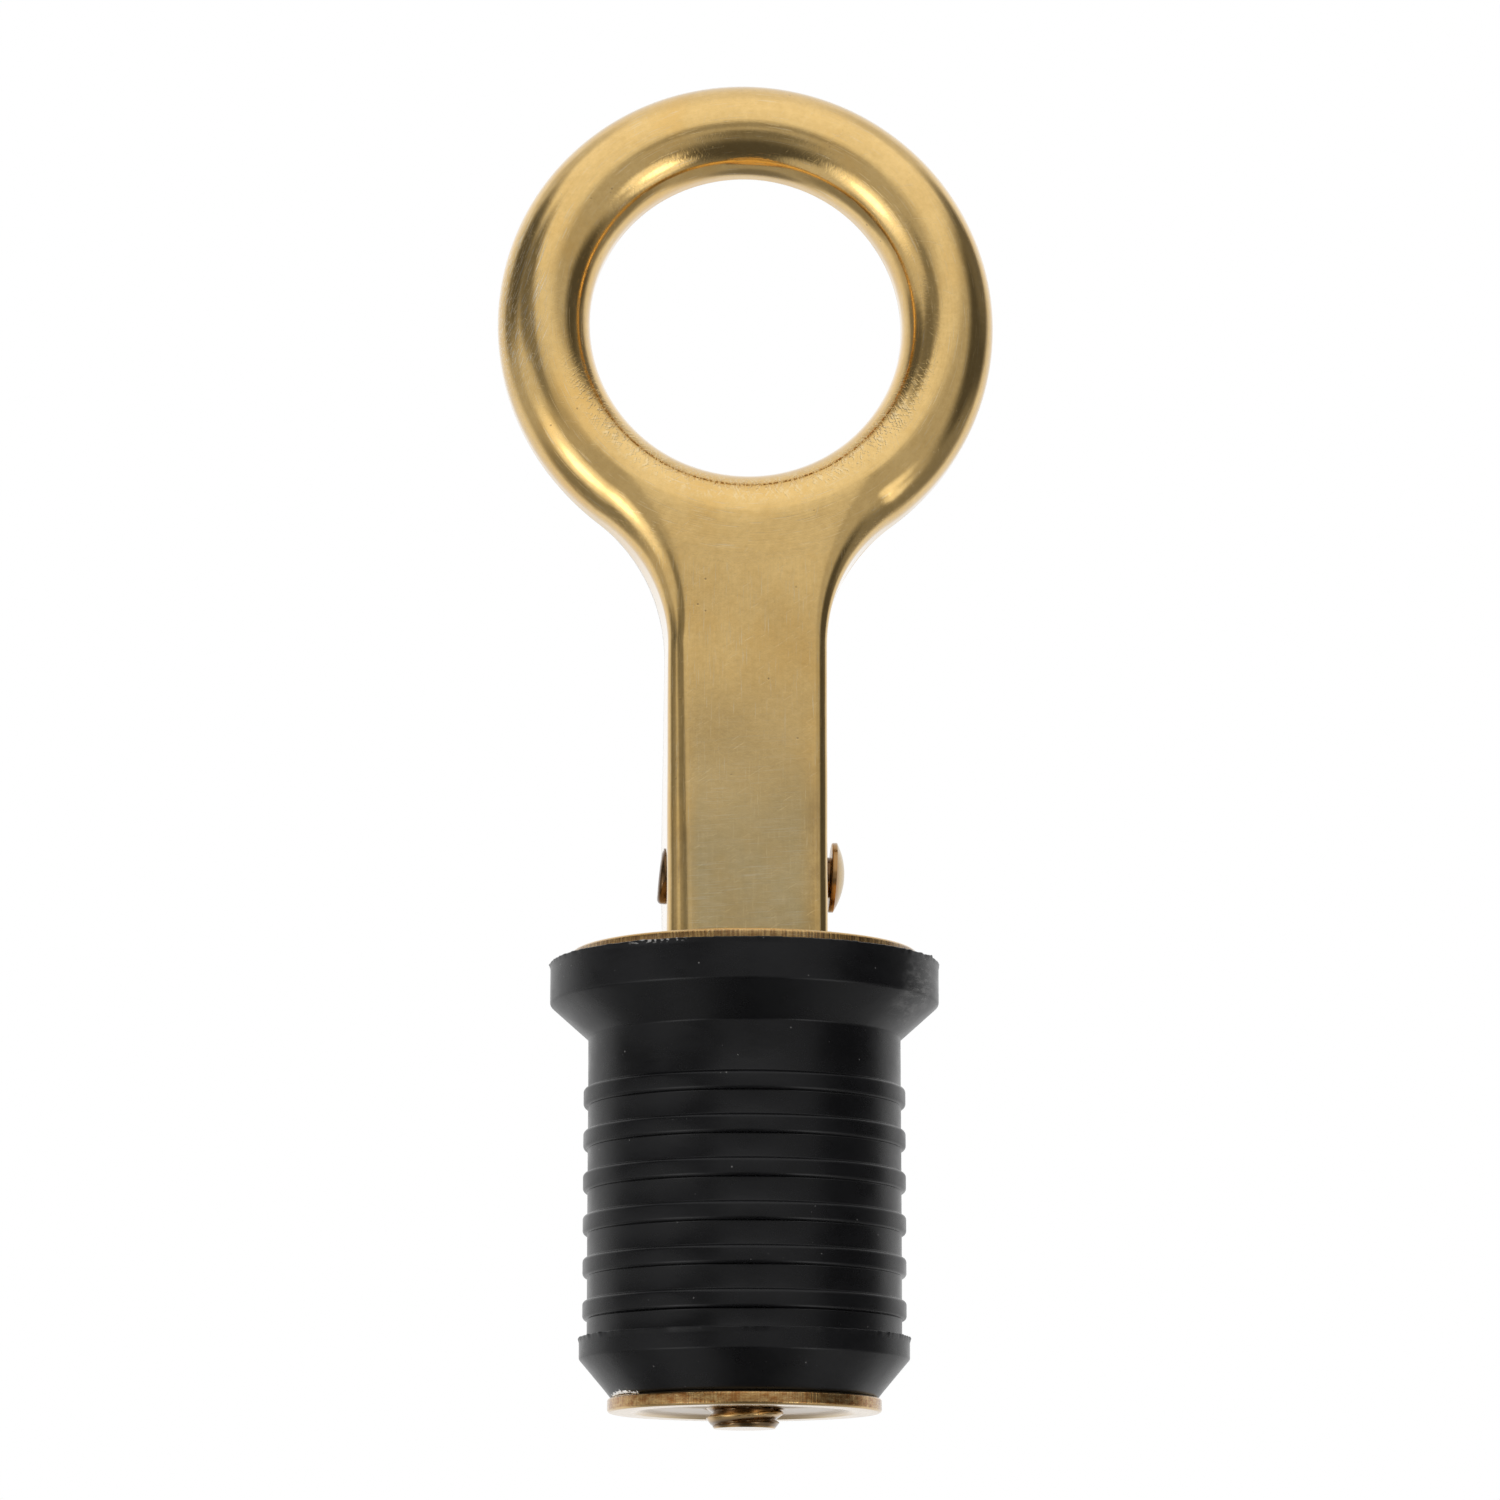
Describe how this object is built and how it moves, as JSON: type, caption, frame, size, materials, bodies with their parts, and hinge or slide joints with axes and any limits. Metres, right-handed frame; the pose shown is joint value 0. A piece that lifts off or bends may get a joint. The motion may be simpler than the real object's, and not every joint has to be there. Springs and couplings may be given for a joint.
{
  "type": "lever-action drain plug",
  "caption": "Boat drain plug: a ribbed rubber stopper on an eye bolt, squeezed between a washer and a nut plate by a folding brass cam lever with a finger ring.",
  "frame": {"origin": "on the plug's axis, in the plane where the flange's cone meets the barrel, which is the mouth of the drain tube", "axes": "+Z out of the drain tube along the plug's axis, -Y the front of the upright lever, +X the side of the rivet's domed head"},
  "size_m": [0.0396, 0.0304, 0.1072],
  "materials": {
    "rubber": "moulded, satin black",
    "washer_brass": "stamped, slightly tarnished edge",
    "bolt_brass": "turned, threaded lower end",
    "handle_brass": "polished with fine brush marks",
    "rivet_brass": "plain, tumbled",
    "plate_brass": "stamped, bright underside"
  },
  "bodies": {
    "plug": {"rubber_plug": "rubber"},
    "washer": {"top_washer": "washer_brass"},
    "bolt": {"eye_bolt": "bolt_brass"},
    "lever": {"lever_handle": "handle_brass", "pivot_rivet": "rivet_brass"},
    "nut": {"nut_plate": "plate_brass"}
  },
  "joints": [
    {"name": "bolt_turn", "type": "hinge", "parent": "plug", "child": "washer", "pos_m": [0, 0, 0.00585], "axis": [0, 0, 1], "range_deg": [0, 720]},
    {"name": "bolt_lift", "type": "slide", "parent": "washer", "child": "bolt", "axis": [0, 0, 1], "range_m": [0, 0.0027], "deforming": ["rubber_plug"]},
    {"name": "lever_pivot", "type": "hinge", "parent": "bolt", "child": "lever", "pos_m": [0, 0, 0.0129], "axis": [-1, 0, 0], "range_deg": [0, 90]},
    {"name": "nut_travel", "type": "slide", "parent": "bolt", "child": "nut", "axis": [0, 0, 1], "range_m": [-0.002, 0]}
  ],
  "couplings": [
    {"joint": "bolt_lift", "follows": "lever_pivot", "m_per_rad": 0.0017189},
    {"joint": "nut_travel", "follows": "bolt_turn", "m_per_rad": -0.00015915}
  ]
}
